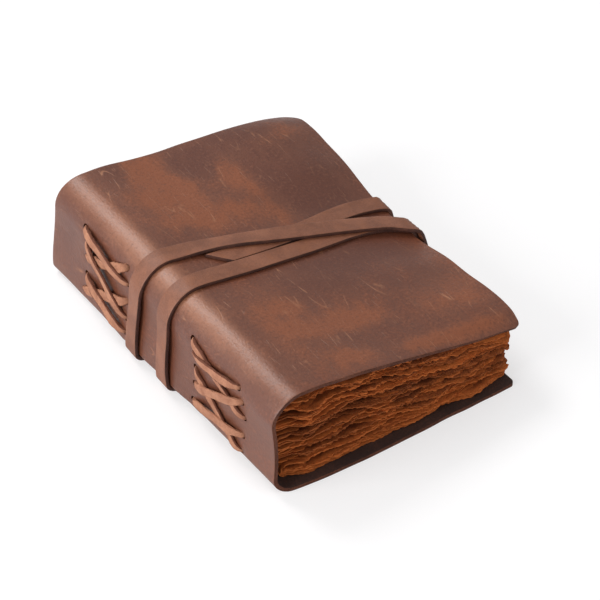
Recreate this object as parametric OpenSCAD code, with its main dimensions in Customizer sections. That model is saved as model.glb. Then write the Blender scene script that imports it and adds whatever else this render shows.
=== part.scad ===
// Leather-wrapped scrapbook album, closed, lying on its back cover.
// X runs from the spine to the fore-edge, Y from tail to head, Z up.
// The origin is under the middle of the closed book, on the surface it lies on.

/* [Cover] */
// Width of the closed cover, from the spine's outer face to the fore-edge
cover_w = 152; // [125:1:200]
// Length of the cover, from tail to head
cover_len = 205; // [170:1:260]
// Height of the closed book over its spine
spine_h = 61; // [50:0.5:75]
// Height of the front cover's fore-edge
fore_h = 40.5; // [33:0.5:50]
// Thickness of the cover leather
leather_t = 2.2; // [1.6:0.1:3]
// Outer radius of the bend between the spine and the front cover
top_r = 15; // [12:0.5:18]
// Outer radius of the bend between the spine and the back cover
bottom_r = 12; // [10:0.5:14]
// Corner radius of the covers at the fore-edge
corner_r = 8; // [3:0.5:15]
// Gap between the panels of the wrap along each bend line
bend_gap = 0.4; // [0.3:0.05:0.8]

/* [Signatures] */
// Folded sheets in one signature
sheets = 8; // [4:1:9]
// Thickness of one sheet of the handmade paper
sheet_t = 0.28; // [0.15:0.01:0.3]
// How far the pages stop short of the cover at tail and head
page_inset_y = 5; // [2:0.5:10]
// How far the pages stop short of the cover at the fore-edge
page_inset_x = 4.5; // [3:0.5:12]
// Distance from the spine's outer face to the centre of the folds
fold_x = 13; // [12.5:0.1:16]
// Free height between the top signature and the front cover at the spine
top_slack = 2; // [1.5:0.1:4]
// Clearance between signatures at the fore-edge
lay_gap = 0.4; // [0.3:0.05:0.5]
// Clearance between the rounded folds of neighbouring signatures
fold_gap = 1.4; // [1.2:0.1:2]

/* [Lacing] */
// Distance of the inner hole columns from mid-length
inner_column_y = 32; // [31.5:0.5:38]
// Distance of the outer hole columns from mid-length
outer_column_y = 74; // [60:0.5:80]
// Diameter of the laced holes
hole_d = 4; // [3.5:0.1:5]
// Width of the thong where it lies across the spine
thong_w = 4.4; // [3:0.1:5]
// Thickness of the thong
thong_t = 1.3; // [0.9:0.1:1.6]
// Diameter of the thong where it runs inside a fold
run_d = 1.5; // [1.2:0.1:1.7]

/* [Strap] */
// Width of the wrapping strap
strap_w = 11; // [8:0.5:12]
// Thickness of the wrapping strap
strap_t = 2; // [1.5:0.1:2.4]
// Clearance between the strap and what it lies on
strap_gap = 0.25; // [0.2:0.05:0.4]
// Length of strap that lies under the back cover before its first turn
strap_tail = 45; // [30:1:70]
// How far the tucked tip stops from the spine's outer face
tip_x = 38; // [30:1:60]

/* [Hidden] */
$fn = 72;

rows = 5;
clear = 0.3;     // between pieces of different bodies
margin = 0.5;    // raised leather beside the strap
ramp = 6;        // slope up to the raised leather
under_gap = 0.15; // free height under the strap
run_fit = 0.25;  // round the thong inside a fold
past = 1;        // how far a cut goes beyond what it cuts
lift = strap_t + strap_gap + under_gap;

// The book is centred between what stands proud of the spine and of the fore-edge.
lace_reach = 2 * (strap_gap + thong_t);
strap_reach = 2 * (strap_gap + strap_t);
spine_x = -(cover_w + strap_reach - lace_reach) / 2;

// Front cover: tangent to the upper bend, ending at the fore-edge's height.
top_c = [top_r, spine_h - top_r];
run_x = cover_w - top_r;
run_z = fore_h - top_c[1];
slope = atan2(run_x, run_z) - acos(top_r / norm([run_x, run_z]));
top_n = [sin(slope), cos(slope)];
top_span = 90 + slope;
bottom_span = 90;
function top_z(x) = fore_h + (cover_w - x) * tan(slope);

// Signatures: a stack of wedges, thicker at the folds than at the fore-edge.
stack_z = lift + leather_t + clear;
fold_pitch = (spine_h - leather_t - top_slack - stack_z) / rows;
page_x = cover_w - page_inset_x;
fore_top = top_z(page_x) - leather_t / cos(slope) - clear;
fore_pitch = (fore_top - stack_z) / rows;
fold_r = (fold_pitch - fold_gap) / 2;
fore_half = (fore_pitch - lay_gap) / 2;
page_len = page_x - fold_x;
page_half_y = cover_len / 2 - page_inset_y;
bore_r = run_d / 2 + run_fit;
sheet_pitch = (fold_r - bore_r) / sheets;
function fold_z(i) = stack_z + fold_pitch * (rows - i + 0.5);
function fore_z(i) = stack_z + fore_pitch * (rows - i + 0.5);
function tilt(i) = atan2(fold_z(i) - fore_z(i), page_len);

// Strap: where its runs cross the spine, the top and the fore-edge.
tail_y = -20;
spine_2_y = -4.6;
spine_1_y = 22.5;
spine_1_low_y = 24;
fore_2_y = -5;
fore_2_low_y = -3;
fore_1_y = 13;
fore_1_low_y = 15;
run_b_y = -2.8;
run_a_y = 21;
tip_y = 9;
// The outermost run over the front cover: [share of its width, y].
over_a = [[0.92, -4], [0.78, 3.5], [0.6, 10], [0.43, 15], [0.32, 18]];
// Heights between which a run changes layer at the fore-edge, and its share of the shift by then.
shift_z = [4, 14];
shift_share = 0.4;
top_start = 25;  // from the fore-edge to where the inner runs lie straight
bend_ahead = 8;  // from the upper bend to where the runs reach the spine's layer
edge_in = 1;     // from the fore-edge to a run's last station under the book
zone_y = [tail_y - strap_w / 2 - margin, spine_1_low_y + strap_w / 2 + margin];

function lerp(a, b, t) = a + (b - a) * t;
function polar(c, r, a) = [c[0] + r * cos(a), c[1] + r * sin(a)];

// Draws a section of the book from tail side y0 to head side y1.
module along_y(y0, y1) {
    translate([spine_x, y1, 0]) rotate([90, 0, 0]) linear_extrude(y1 - y0) children();
}

// Leather bent round centre c, from angle a0 to a1.
module bend(c, r, a0, a1) {
    reach = 2 * r;
    intersection() {
        translate(c) difference() {
            circle(r);
            circle(r - leather_t);
        }
        polygon([c, polar(c, reach, a0), polar(c, reach, (a0 + a1) / 2), polar(c, reach, a1)]);
    }
}

// Half the bend gap as an angle at radius r.
function gap_angle(r) = bend_gap / 2 / r * 180 / PI;

module front_section() {
    panel_len = norm([run_x, run_z] - top_r * top_n);
    translate(top_c) rotate(-slope) {
        bend([0, 0], top_r, 90 + top_span / 2 - gap_angle(top_r), 90);
        translate([0, top_r - leather_t]) square([panel_len, leather_t]);
    }
}

module spine_section(rise) {
    bottom_c = [bottom_r, bottom_r + rise];
    bend(bottom_c, bottom_r, 180, 180 + bottom_span / 2 - gap_angle(bottom_r));
    translate([0, bottom_c[1]]) square([leather_t, top_c[1] - bottom_c[1]]);
    bend(top_c, top_r, 180 - top_span / 2 + gap_angle(top_r), 180);
}

module back_bend_section(rise) {
    bottom_c = [bottom_r, bottom_r + rise];
    bend(bottom_c, bottom_r, 180 + bottom_span / 2 + gap_angle(bottom_r), 270);
}

// Plan of a cover, rounded at the fore-edge corners.
module cover_plan() {
    half = cover_len / 2;
    translate([spine_x, -half]) square([cover_w - corner_r, cover_len]);
    translate([spine_x, -half + corner_r]) square([cover_w, cover_len - 2 * corner_r]);
    for (side = [-1, 1])
        translate([spine_x + cover_w - corner_r, side * (half - corner_r)]) circle(corner_r);
}

module in_plan() {
    intersection() {
        children();
        linear_extrude(3 * spine_h, center = true) cover_plan();
    }
}

module front_cover() {
    color("saddlebrown") in_plan()
        along_y(-cover_len / 2, cover_len / 2) front_section();
}

// The back cover lies flat, and rises where the strap passes under it.
module back_cover() {
    half = cover_len / 2;
    low = [[-half, 0], [zone_y[0] - ramp, 0], [zone_y[0], lift],
        [zone_y[1], lift], [zone_y[1] + ramp, 0], [half, 0]];
    high = [for (i = [len(low) - 1 : -1 : 0]) low[i] + [0, leather_t]];
    color("sienna") {
        in_plan() translate([spine_x + bottom_r, 0, 0]) rotate([90, 0, 90])
            linear_extrude(cover_w - bottom_r) polygon(concat(low, high));
        along_y(-half, zone_y[0]) back_bend_section(0);
        along_y(zone_y[0], zone_y[1]) back_bend_section(lift);
        along_y(zone_y[1], half) back_bend_section(0);
    }
}

module spine() {
    half = cover_len / 2;
    color("saddlebrown") difference() {
        union() {
            along_y(-half, zone_y[0]) spine_section(0);
            along_y(zone_y[0], zone_y[1]) spine_section(lift);
            along_y(zone_y[1], half) spine_section(0);
        }
        for (row = [1 : rows], y = [inner_column_y, outer_column_y], side = [-1, 1])
            translate([spine_x - past, side * y, fold_z(row)]) rotate([0, 90, 0])
                cylinder(d = hole_d, h = fold_x - fold_r);
    }
}

// One folded sheet, seen from its end, with its fold round the origin.
module sheet_section(outer_r) {
    inner_r = outer_r - sheet_t;
    squeeze = fore_half / fold_r;
    end = (outer_r + inner_r) / 2 * squeeze;
    intersection() {
        difference() {
            circle(outer_r);
            circle(inner_r);
        }
        translate([-outer_r, -outer_r]) square([outer_r, 2 * outer_r]);
    }
    for (side = [-1, 1])
        polygon([[0, side * outer_r], [page_len, side * (end + sheet_t / 2)],
            [page_len, side * (end - sheet_t / 2)], [0, side * inner_r]]);
}

// A signature: nested folded sheets, slotted at the folds where the thong goes out.
module signature(i) {
    slot_w = thong_w + 2 * clear;
    slot_x = run_d / 2 + fold_r * sin(slope) + 2 * clear;
    place = [spine_x + fold_x, 0, fold_z(i)];
    for (k = [0 : sheets - 1]) {
        outer_r = fold_r - k * sheet_pitch;
        color(k % 2 == 0 ? "peru" : "chocolate") translate(place) rotate([0, tilt(i), 0])
            difference() {
                translate([0, page_half_y, 0]) rotate([90, 0, 0])
                    linear_extrude(2 * page_half_y) sheet_section(outer_r);
                for (y = [inner_column_y, outer_column_y], side = [-1, 1])
                    translate([-fold_r - past, side * y - slot_w / 2, -fold_r - past])
                        cube([fold_r + past + slot_x, slot_w, 2 * (fold_r + past)]);
            }
    }
}

// Turn of the spine's outer face at height z, up or down from its flat part.
function face_angle(z) = z > top_c[1] ? asin((z - top_c[1]) / top_r)
    : z < bottom_r ? asin((z - bottom_r) / bottom_r) : 0;
// Depth of that face behind the flat part.
function face_x(z) = (1 - cos(face_angle(z))) * (z > top_c[1] ? top_r : bottom_r);

// The thong inside one fold, with its two ends going out through the spine.
module thong_run(i, side) {
    stem_w = sqrt(pow(hole_d - clear, 2) - thong_t * thong_t);
    stem_x = face_x(fold_z(i));
    color("burlywood") translate([spine_x, 0, fold_z(i)]) {
        translate([fold_x, side * inner_column_y, 0]) rotate([side * -90, 0, 0])
            cylinder(d = run_d, h = outer_column_y - inner_column_y);
        for (y = [inner_column_y, outer_column_y])
            translate([stem_x, side * y - stem_w / 2, -thong_t / 2])
                cube([fold_x - stem_x, stem_w, thong_t]);
    }
}

// Flat ribbon through rings of [centre, outward normal], w wide and t thick.
function ribbon_corners(ring, ahead, w, t) =
    let (n = ring[1], along = ahead / norm(ahead), across = cross(along, n))
    let (a = across / norm(across) * w / 2, b = n * t / 2)
    [ring[0] - a - b, ring[0] + a - b, ring[0] + a + b, ring[0] - a + b];
module ribbon(rings, w, t) {
    last = len(rings) - 1;
    points = [for (i = [0 : last])
        let (ahead = rings[min(i + 1, last)][0] - rings[max(i - 1, 0)][0])
        each ribbon_corners(rings[i], ahead, w, t)];
    sides = [for (i = [0 : last - 1], k = [0 : 3])
        let (a = 4 * i + k, b = 4 * i + (k + 1) % 4)
        each [[a, a + 4, b], [b, a + 4, b + 4]]];
    ends = [[0, 1, 2], [0, 2, 3],
        [4 * last + 2, 4 * last + 1, 4 * last], [4 * last + 3, 4 * last + 2, 4 * last]];
    polyhedron(points, concat(sides, ends));
}

// The crossing stitches of one group: [inner row, outer row, passes over].
stitch_rows = [[1, 3, false], [3, 5, false], [2, 1, true], [4, 2, true], [5, 4, true]];
module stitches(side) {
    steps = 20;
    rise_share = 0.1;
    for (s = stitch_rows) {
        rings = [for (k = [0 : steps])
            let (t = k / steps)
            let (z = lerp(fold_z(s[0]), fold_z(s[1]), t))
            let (y = side * lerp(inner_column_y, outer_column_y, t))
            let (over = s[2] ? min(1, t / rise_share, (1 - t) / rise_share) : 0)
            let (off = strap_gap + thong_t / 2 + over * (strap_gap + thong_t))
            let (a = face_angle(z), out = [-cos(a), 0, sin(a)])
            [[spine_x + face_x(z), y, z] + off * out, out]];
        color("burlywood") ribbon(rings, thong_w, thong_t);
    }
}

// Strap stations on each face of the book, off it by d.
function on_top(x, y, d) =
    [[spine_x + x + d * top_n[0], y, top_z(x) + d * top_n[1]], [top_n[0], 0, top_n[1]]];
function round_bend(c, r, a, y) =
    [[spine_x + c[0] + r * cos(a), y, c[1] + r * sin(a)], [cos(a), 0, sin(a)]];
function arc_rings(c, r, a0, a1, y0, y1, n) =
    [for (k = [0 : n]) round_bend(c, r, lerp(a0, a1, k / n), lerp(y0, y1, k / n))];
function under(x, y, d) = [[spine_x + x, y, lift - d], [0, 0, -1]];

// Up the fore-edge from a low to a high place, changing layer on the way.
function fore_rings(y_low, y_high, d_low, d_high) = concat(
    arc_rings([cover_w, lift], d_low, 270, 360, y_low, y_low, 6),
    [round_bend([cover_w, lift + shift_z[0]], d_low, 0, y_low)],
    [round_bend([cover_w, lift + shift_z[1]], d_high, 0, lerp(y_low, y_high, shift_share))],
    arc_rings([cover_w, fore_h], d_high, 0, 90 - slope, y_high, y_high, 6));
// Over the upper bend, down the spine, round the lower bend and under the book.
function spine_rings(y_high, y_low, y_under, d) = concat(
    arc_rings(top_c, top_r + d, 90 - slope, 180, y_high, y_high, 14),
    arc_rings([bottom_r, bottom_r + lift], bottom_r + d, 180, 270, y_low, y_low, 14),
    [under(cover_w - edge_in, y_under, d)]);

module wrap_strap() {
    d1 = strap_gap + strap_t / 2;
    d2 = d1 + strap_gap + strap_t;
    bend_x = top_r + bend_ahead;
    start = [under(cover_w - strap_tail, tail_y, d1), under(cover_w - edge_in, tail_y, d1)];
    turn_b = concat(fore_rings(tail_y, fore_2_y, d1, d1),
        [on_top(cover_w - top_start, run_b_y, d1), on_top(bend_x, run_b_y, d1)],
        spine_rings(spine_2_y, spine_2_y, fore_2_low_y, d1));
    turn_a = concat(fore_rings(fore_2_low_y, fore_2_y, d1, d2),
        [for (p = over_a) on_top(p[0] * cover_w, p[1], d2)],
        [on_top(bend_x, run_a_y, d1)],
        spine_rings(spine_1_y, spine_1_low_y, fore_1_low_y, d1));
    turn_c = concat(fore_rings(fore_1_low_y, fore_1_y, d1, d1),
        [on_top(cover_w - top_start, fore_1_y, d1), on_top(tip_x, tip_y, d1)]);
    color("sienna") ribbon(concat(start, turn_b, turn_a, turn_c), strap_w, strap_t);
}

front_cover();
spine();
back_cover();
signature(1);  // signature_1
signature(2);  // signature_2
signature(3);  // signature_3
signature(4);  // signature_4
signature(5);  // signature_5
thong_run(1, -1);  // tail_run_1
thong_run(2, -1);  // tail_run_2
thong_run(3, -1);  // tail_run_3
thong_run(4, -1);  // tail_run_4
thong_run(5, -1);  // tail_run_5
thong_run(1, 1);  // head_run_1
thong_run(2, 1);  // head_run_2
thong_run(3, 1);  // head_run_3
thong_run(4, 1);  // head_run_4
thong_run(5, 1);  // head_run_5
stitches(-1);  // tail_stitches
stitches(1);  // head_stitches
wrap_strap();
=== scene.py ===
import math
import random

import bpy
import numpy as np
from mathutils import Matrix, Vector


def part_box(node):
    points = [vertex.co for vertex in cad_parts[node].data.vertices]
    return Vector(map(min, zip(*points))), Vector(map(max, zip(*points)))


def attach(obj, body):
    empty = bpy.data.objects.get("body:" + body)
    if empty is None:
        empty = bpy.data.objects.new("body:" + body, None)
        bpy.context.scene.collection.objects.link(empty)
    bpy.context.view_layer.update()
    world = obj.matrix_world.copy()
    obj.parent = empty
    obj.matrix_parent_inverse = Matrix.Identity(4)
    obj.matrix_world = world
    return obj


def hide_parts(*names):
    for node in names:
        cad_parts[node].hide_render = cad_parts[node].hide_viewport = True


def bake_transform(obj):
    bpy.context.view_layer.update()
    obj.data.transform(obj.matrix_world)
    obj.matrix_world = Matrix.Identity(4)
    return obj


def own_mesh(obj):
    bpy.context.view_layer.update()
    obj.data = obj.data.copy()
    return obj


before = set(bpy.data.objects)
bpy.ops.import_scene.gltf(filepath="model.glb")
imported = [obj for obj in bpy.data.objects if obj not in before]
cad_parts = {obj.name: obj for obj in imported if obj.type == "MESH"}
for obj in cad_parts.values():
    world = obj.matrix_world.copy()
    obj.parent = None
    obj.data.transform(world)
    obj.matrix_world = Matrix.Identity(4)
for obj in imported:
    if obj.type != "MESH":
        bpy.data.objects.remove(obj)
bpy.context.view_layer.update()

# ---- Camera ----
# A long lens looks down on the book from its tail and spine side.
view_turn = math.radians(-34.3)
view_height = math.radians(41.34)
view_distance = 1.5641
view_centre = Vector((0.00147, -0.01128, 0.025))
view_back = Vector((math.sin(view_turn) * math.cos(view_height),
                    -math.cos(view_turn) * math.cos(view_height),
                    math.sin(view_height)))
bpy.ops.object.camera_add(location=view_centre + view_distance * view_back,
                          rotation=(math.pi / 2 - view_height, 0, view_turn))
camera = bpy.context.object
camera.data.lens = 180
camera.data.sensor_width = 36
bpy.context.scene.camera = camera

# ---- Leather wrap ----
# The cover is one piece of waxed, oil-tanned leather, about 2 mm thick and 360 mm long when flat.
# It is bent round the page block without boards or glue, and only the lacing holds it.
mm = 0.001
leather_t = 2.2 * mm
spine_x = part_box("spine")[0].x
fore_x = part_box("front_cover")[1].x
top_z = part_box("front_cover")[1].z
half_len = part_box("front_cover")[1].y
width = fore_x - spine_x
fore_z = 40.5 * mm
top_r = 15 * mm
bottom_r = 12 * mm
seam_z = 38.5 * mm
tail_corner_r = 3 * mm
head_corner_r = 9 * mm
back_short = 3 * mm
strap_lift = 2.4 * mm
lift_zone = (-26 * mm, 30 * mm)
lift_ramp = 8 * mm

# The section of the wrap: s runs from the seam on the spine, up over the front cover when positive
# and down under the back cover when negative.
run_x = width - top_r
run_z = fore_z - (top_z - top_r)
slope = math.atan2(run_x, run_z) - math.acos(top_r / math.hypot(run_x, run_z))
top_span = math.pi / 2 + slope
top_rise = top_z - top_r - seam_z
panel_s = top_rise + top_r * top_span
front_s = panel_s + math.sqrt(run_x ** 2 + run_z ** 2 - top_r ** 2)
back_s = seam_z + width - back_short

# The lower bend is tighter toward the head, and the spine swells out above it there, against y.
low_bend = [(-106, 10), (-76, 10), (-54, 8.4), (-34, 7), (-18, 6), (106, 6)]
low_swell = [(-106, 0.1), (-76, 0), (-54, 0.1), (-36, 0.3), (-26, 1.0), (-14, 1.8), (0, 1.8), (14, 2.4),
             (30, 2.4), (44, 1.8), (64, 1.5), (84, 1.8), (106, 2.2)]

# Heights by which the front cover departs from its plain slope: along its fore-edge against y,
# where the strap pinches it, and along its head and tail edges against the distance from the spine.
fore_edge_dz = [(-110, -4.6), (-103, -3.4), (-95, 0.8), (-87, 2.1), (-75, 1.9), (-61, 0.3), (-40, -1.6),
                (-22, -5.0), (-5, -6.3), (14, -6.3), (27, -5.6), (38, -3.4), (52, -0.3), (68, 1.3),
                (86, 2.8), (96, 2.0), (104, -0.4)]
head_edge_dz = [(0, 0), (14, 0.3), (24, 1.3), (52, 1.5), (72, 2.2), (95, 3.6), (116, 4.4), (132, 3.6),
                (152, 0.2)]
tail_edge_dz = [(0, 0), (10, 0.6), (24, 1.6), (38, 1.9), (60, 1.3), (85, 0.2), (120, -0.3), (152, 0.0)]
# Where the leather is cut at head and tail, against s: a little longer under the book than over it.
head_cut = [(-190, 103.2), (-110, 104), (-60, 105.5), (-32, 106.6), (-12, 106.4), (8, 104.4), (40, 102.8),
            (120, 102.4), (178, 102.6)]
tail_cut = [(-190, 105.6), (-174, 105.8), (-140, 106.2), (-105, 106.9), (-72, 106.7), (-45, 104.6),
            (-36, 102.8), (-20, 102.2), (10, 102.5), (178, 102.6)]
# Where the strap lies along y, and how far round it the cover is pressed down.
strap_y = 8 * mm
pressed_from = 45 * mm
pressed_to = 12 * mm
# At the tail end the spine is a little hollow low down and full above: (height, reach, depth).
spine_hollows = [(24 * mm, 15 * mm, 1.1 * mm), (50 * mm, 9 * mm, -0.9 * mm)]


def through(points, at):
    """A smooth line through given (place, value) points, read at the places asked for."""
    place, value = np.array(points, float).T
    lean = np.gradient(value, place)
    i = np.clip(np.searchsorted(place, at) - 1, 0, len(place) - 2)
    gap = place[i + 1] - place[i]
    t = np.clip((at - place[i]) / gap, 0, 1)
    back = 1 - t
    return ((1 + 2 * t) * back ** 2 * value[i] + t * back ** 2 * gap * lean[i]
            + t * t * (3 - 2 * t) * value[i + 1] - t * t * back * gap * lean[i + 1])


def ease(low, high, at):
    """From 0 at low to 1 at high, with level ends."""
    t = np.clip((at - low) / (high - low), 0, 1)
    return t * t * (3 - 2 * t)


def waves(seed, length, *along):
    """Seeded smooth unevenness, mostly within -1 to 1, in waves of about that length."""
    draw = random.Random(seed)
    total = 0
    for _ in range(7):
        lean = np.array([draw.gauss(0, 1) for _ in along])
        lean *= 2 * math.pi / length / draw.uniform(0.7, 1.6) / np.linalg.norm(lean)
        total = total + np.sin(sum(k * place for k, place in zip(lean, along)) + draw.uniform(0, 7))
    return total / 2.6


def book_lift(y):
    """How far the strap under the back cover raises it."""
    return strap_lift * (ease(lift_zone[0] - lift_ramp, lift_zone[0], y)
                         - ease(lift_zone[1], lift_zone[1] + lift_ramp, y))


def front_swell(x, y):
    """How far the front cover stands off its plain slope, x from the spine."""
    share = np.clip(x / width, 0, 1)
    edge = through(fore_edge_dz, y / mm) * ease(0.35, 1.02, share) ** 1.3
    toward_head = ease(-half_len, half_len, y)
    pressed = 1 - 0.75 * ease(pressed_from, pressed_to, np.abs(y - strap_y))
    head_body = through(head_edge_dz, x / mm)
    tail_body = through(tail_edge_dz, x / mm)
    body = head_body * toward_head + tail_body * (1 - toward_head)
    return (edge + body * pressed) * mm + 0.2 * mm * waves(3, 70 * mm, x, y)


def wrap_surface(s, y):
    """Points and outward normals of the wrap's outer face, at s along its section and y."""
    # Each point goes along the spine, round its bend and out over the cover; then it is swelled.
    up = s >= 0
    run = np.abs(s)
    low_r = through(low_bend, y / mm) * mm
    radius = np.where(up, top_r, low_r)
    flat = np.where(up, top_rise, seam_z - low_r)
    span = np.where(up, top_span, math.pi / 2)
    bent = flat + radius * span
    drawn = np.where(up, 1, (width - low_r) / (back_s - bent))
    turn = np.clip((run - flat) / radius, 0, span)
    past = np.clip(run - bent, 0, None) * drawn
    before = np.clip(run, 0, flat)
    x = radius * (1 - np.cos(turn)) + past * np.sin(turn)
    rise = before + radius * np.sin(turn) + past * np.cos(turn)
    side = np.where(up, 1, -1)
    z = seam_z + side * rise
    nx, nz = -np.cos(turn), side * np.sin(turn)
    near_tail = ease(60 * mm, 100 * mm, -y)
    hollow = sum(depth * np.exp(-((z - height) / reach) ** 2) * near_tail
                 for height, reach, depth in spine_hollows)
    off = np.where(up, front_swell(x, y) * ease(0.5, 1.5, turn), 0) - hollow * np.clip(-nx, 0, 1)
    off = off + 0.12 * mm * waves(5, 45 * mm, s, y)
    under = np.where(up, 0, ease(bent, bent + 30 * mm, run))
    swell = through(low_swell, y / mm) * mm * ease(38 * mm, 4 * mm, z) * (1 - under)
    x = x + off * nx - swell
    z = z + off * nz + np.where(up, 0, book_lift(y) * ease(flat - 6 * mm, bent, run))
    return np.stack([spine_x + x, y + 0 * s, z], -1), np.stack([nx, 0 * nx, nz], -1)


# Lacing holes: five rows, one to a signature, in two columns at the head and two at the tail.
# Each is given as its section place and y, in mm, from the top row down.
hole_r = 1.9 * mm
hole_at = {("tail", "inner"): [(12.3, -29.2), (5.1, -31.4), (-4.8, -32.0), (-16.6, -31.3), (-28.5, -29.9)],
           ("tail", "outer"): [(11.2, -71.3), (3.9, -74.6), (-5.9, -76.0), (-19.1, -74.5), (-30.7, -73.0)],
           ("head", "inner"): [(13.8, 34.0), (4.3, 32.2), (-8.0, 33.2), (-19.3, 33.7), (-28.9, 34.0)],
           ("head", "outer"): [(13.0, 75.0), (6.2, 72.4), (-5.6, 72.7), (-17.0, 72.9), (-28.7, 75.2)]}


def hole(end, column, row):
    """Section place and y of a lacing hole."""
    s, y = hole_at[end, column][row - 1]
    return s * mm, y * mm


holes = [hole(end, column, row) for end, column in hole_at for row in range(1, 6)]


def only(obj):
    """Selects one object and nothing else."""
    bpy.ops.object.select_all(action="DESELECT")
    obj.select_set(True)
    bpy.context.view_layer.objects.active = obj


def places(obj):
    """The vertices of a mesh as an array."""
    found = np.empty(len(obj.data.vertices) * 3)
    obj.data.vertices.foreach_get("co", found)
    return found.reshape(-1, 3)


def put(obj, where):
    """Moves the vertices of a mesh."""
    obj.data.vertices.foreach_set("co", np.ascontiguousarray(where, dtype=np.float32).ravel())
    obj.data.update()


def apply(obj, kind, **settings):
    """Adds a modifier and applies it."""
    only(obj)
    modifier = obj.modifiers.new(kind, kind)
    for name, value in settings.items():
        setattr(modifier, name, value)
    bpy.ops.object.modifier_apply(modifier=modifier.name)


def face_outwards(obj):
    """Turns all faces of a closed mesh outwards."""
    only(obj)
    bpy.ops.object.mode_set(mode="EDIT")
    bpy.ops.mesh.select_all(action="SELECT")
    bpy.ops.mesh.normals_make_consistent(inside=False)
    bpy.ops.object.mode_set(mode="OBJECT")


def mark(obj, name, values):
    """Keeps one number per vertex on a mesh, for its finish to read."""
    kept = obj.data.attributes.new(name, "FLOAT", "POINT")
    kept.data.foreach_set("value", np.ascontiguousarray(values, dtype=np.float32).ravel())


def dye(red, green, blue):
    """A colour as it looks, 0 to 255, in the light's own scale."""
    def part(c):
        c /= 255
        return c / 12.92 if c <= 0.04045 else ((c + 0.055) / 1.055) ** 2.4
    return (part(red), part(green), part(blue), 1)


class Thread:
    """A value, colour or vector on its way through a finish. Sums on values add Math nodes."""

    def __init__(self, tree, socket):
        self.tree = tree
        self.socket = socket

    def node(self, kind, sockets, out=0, **settings):
        """Adds a node: its settings first, then the values or threads of its sockets."""
        made = self.tree.nodes.new("ShaderNode" + kind)
        for name, value in settings.items():
            setattr(made, name, value)
        for name, value in sockets.items():
            if isinstance(value, Thread):
                self.tree.links.new(value.socket, made.inputs[name])
            else:
                made.inputs[name].default_value = value
        return Thread(self.tree, made.outputs[out])

    def sum(self, operation, first, second):
        """One Math node on two values."""
        return self.node("Math", {0: first, 1: second}, operation=operation)

    def __add__(self, other):
        return self.sum("ADD", self, other)

    def __sub__(self, other):
        return self.sum("SUBTRACT", self, other)

    def __rsub__(self, other):
        return self.sum("SUBTRACT", other, self)

    def __mul__(self, other):
        return self.sum("MULTIPLY", self, other)

    __radd__ = __add__
    __rmul__ = __mul__

    def place(self):
        """The piece's own coordinates, in metres."""
        return self.node("TexCoord", {}, out=3)

    def marked(self, name):
        """The number that the mesh keeps under that name."""
        return self.node("Attribute", {}, out=2, attribute_name=name)

    def over(self, low, high):
        """From 0 where it is low to 1 where it is high."""
        return self.node("MapRange", {"Value": self, "From Min": low, "From Max": high},
                         interpolation_type="SMOOTHSTEP")

    def toward(self, colour, amount):
        """This colour, mixed toward another."""
        return self.node("Mix", {0: amount, 6: self, 7: colour}, out=2, data_type="RGBA")

    def cloud(self, size, detail=3.0, rough=0.55, twist=0.0):
        """Noise with lumps of that size, on this vector."""
        return self.node("TexNoise", {"Vector": self, "Scale": 1 / size, "Detail": detail,
                                      "Roughness": rough, "Distortion": twist})

    def stretched(self, *scale, turn=0.0):
        """This vector, with its pattern drawn out or turned."""
        return self.node("Mapping", {"Vector": self, "Scale": scale, "Rotation": (0, 0, turn)})


def finish(name):
    """A new material, with a thread to start its finish from and its shader."""
    made = bpy.data.materials.new(name)
    made.use_nodes = True
    shader = made.node_tree.nodes["Principled BSDF"]
    start = Thread(made.node_tree, None)
    return made, start, shader


def wear_in(shader, thread, colour, rough, height, depth, lift, shine=0.5):
    """Joins a finish's colour, roughness and relief to its shader."""
    links = thread.tree.links
    links.new(colour.socket, shader.inputs["Base Color"])
    links.new(rough.socket, shader.inputs["Roughness"])
    bump = thread.node("Bump", {"Height": height, "Strength": depth, "Distance": lift})
    links.new(bump.socket, shader.inputs["Normal"])
    shader.inputs["Specular IOR Level"].default_value = shine


def blend_colour(start, first, second, amount):
    """Two colours, mixed by a mask."""
    return start.node("Mix", {0: amount, 6: first, 7: second}, out=2, data_type="RGBA")


# Outer face: dark brown where the oil lies deep, orange-brown where bending and rubbing pulled it up,
# with fine pale scratches, and a pale band on the upper bend that is partly pulled-up leather and partly
# a painted highlight. The pattern follows the hide, so it reads the wrap's own flat coordinates.
hide_brown = dye(108, 62, 43)
hide_dark = dye(92, 48, 33)
hide_orange = dye(140, 76, 42)
# Pale hide, also used for the painted highlight on the upper bend.
hide_pale_and_highlight = dye(156, 104, 78)
hide_pore = dye(60, 32, 24)
scratch_tan = dye(182, 126, 90)

cover_hide, start, shader = finish("cover_leather_hide")
on_hide = start.node("UVMap", {}, uv_map="hide")
tone = start.marked("pull_up")
bend_pale_and_highlight = start.marked("bend")
broad = on_hide.cloud(46 * mm, 4, 0.6, 0.5)
mottle = on_hide.stretched(1.5, 0.7, 1).cloud(13 * mm, 6, 0.66, 0.3)
speck = on_hide.cloud(1.7 * mm, 4, 0.66)
rubbed = on_hide.stretched(1.3, 0.7, 1).cloud(27 * mm, 5, 0.64, 0.6)
dark = (broad * 0.45 + mottle * 0.4 + speck * 0.15 - tone * 0.24).over(0.4, 0.64)
orange = (rubbed * 0.4 + mottle * 0.32 + speck * 0.28 + tone * 0.42).over(0.46, 0.78)
colour = blend_colour(start, hide_brown, hide_dark, dark * 0.8)
colour = colour.toward(hide_orange, orange * 0.72)
# Pale band on the upper bend: partly pulled-up leather, partly a painted highlight where the back lamp's
# reflection falls.
colour = colour.toward(hide_pale_and_highlight, (bend_pale_and_highlight + mottle * 0.6 - 0.33).over(0.1, 1.0) * 0.86)
colour = colour.toward(hide_pale_and_highlight, speck.over(0.5, 0.7) * mottle.over(0.35, 0.65) * 0.3)
colour = colour.toward(hide_pore, (1 - speck.over(0.3, 0.5)) * 0.35)


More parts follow.
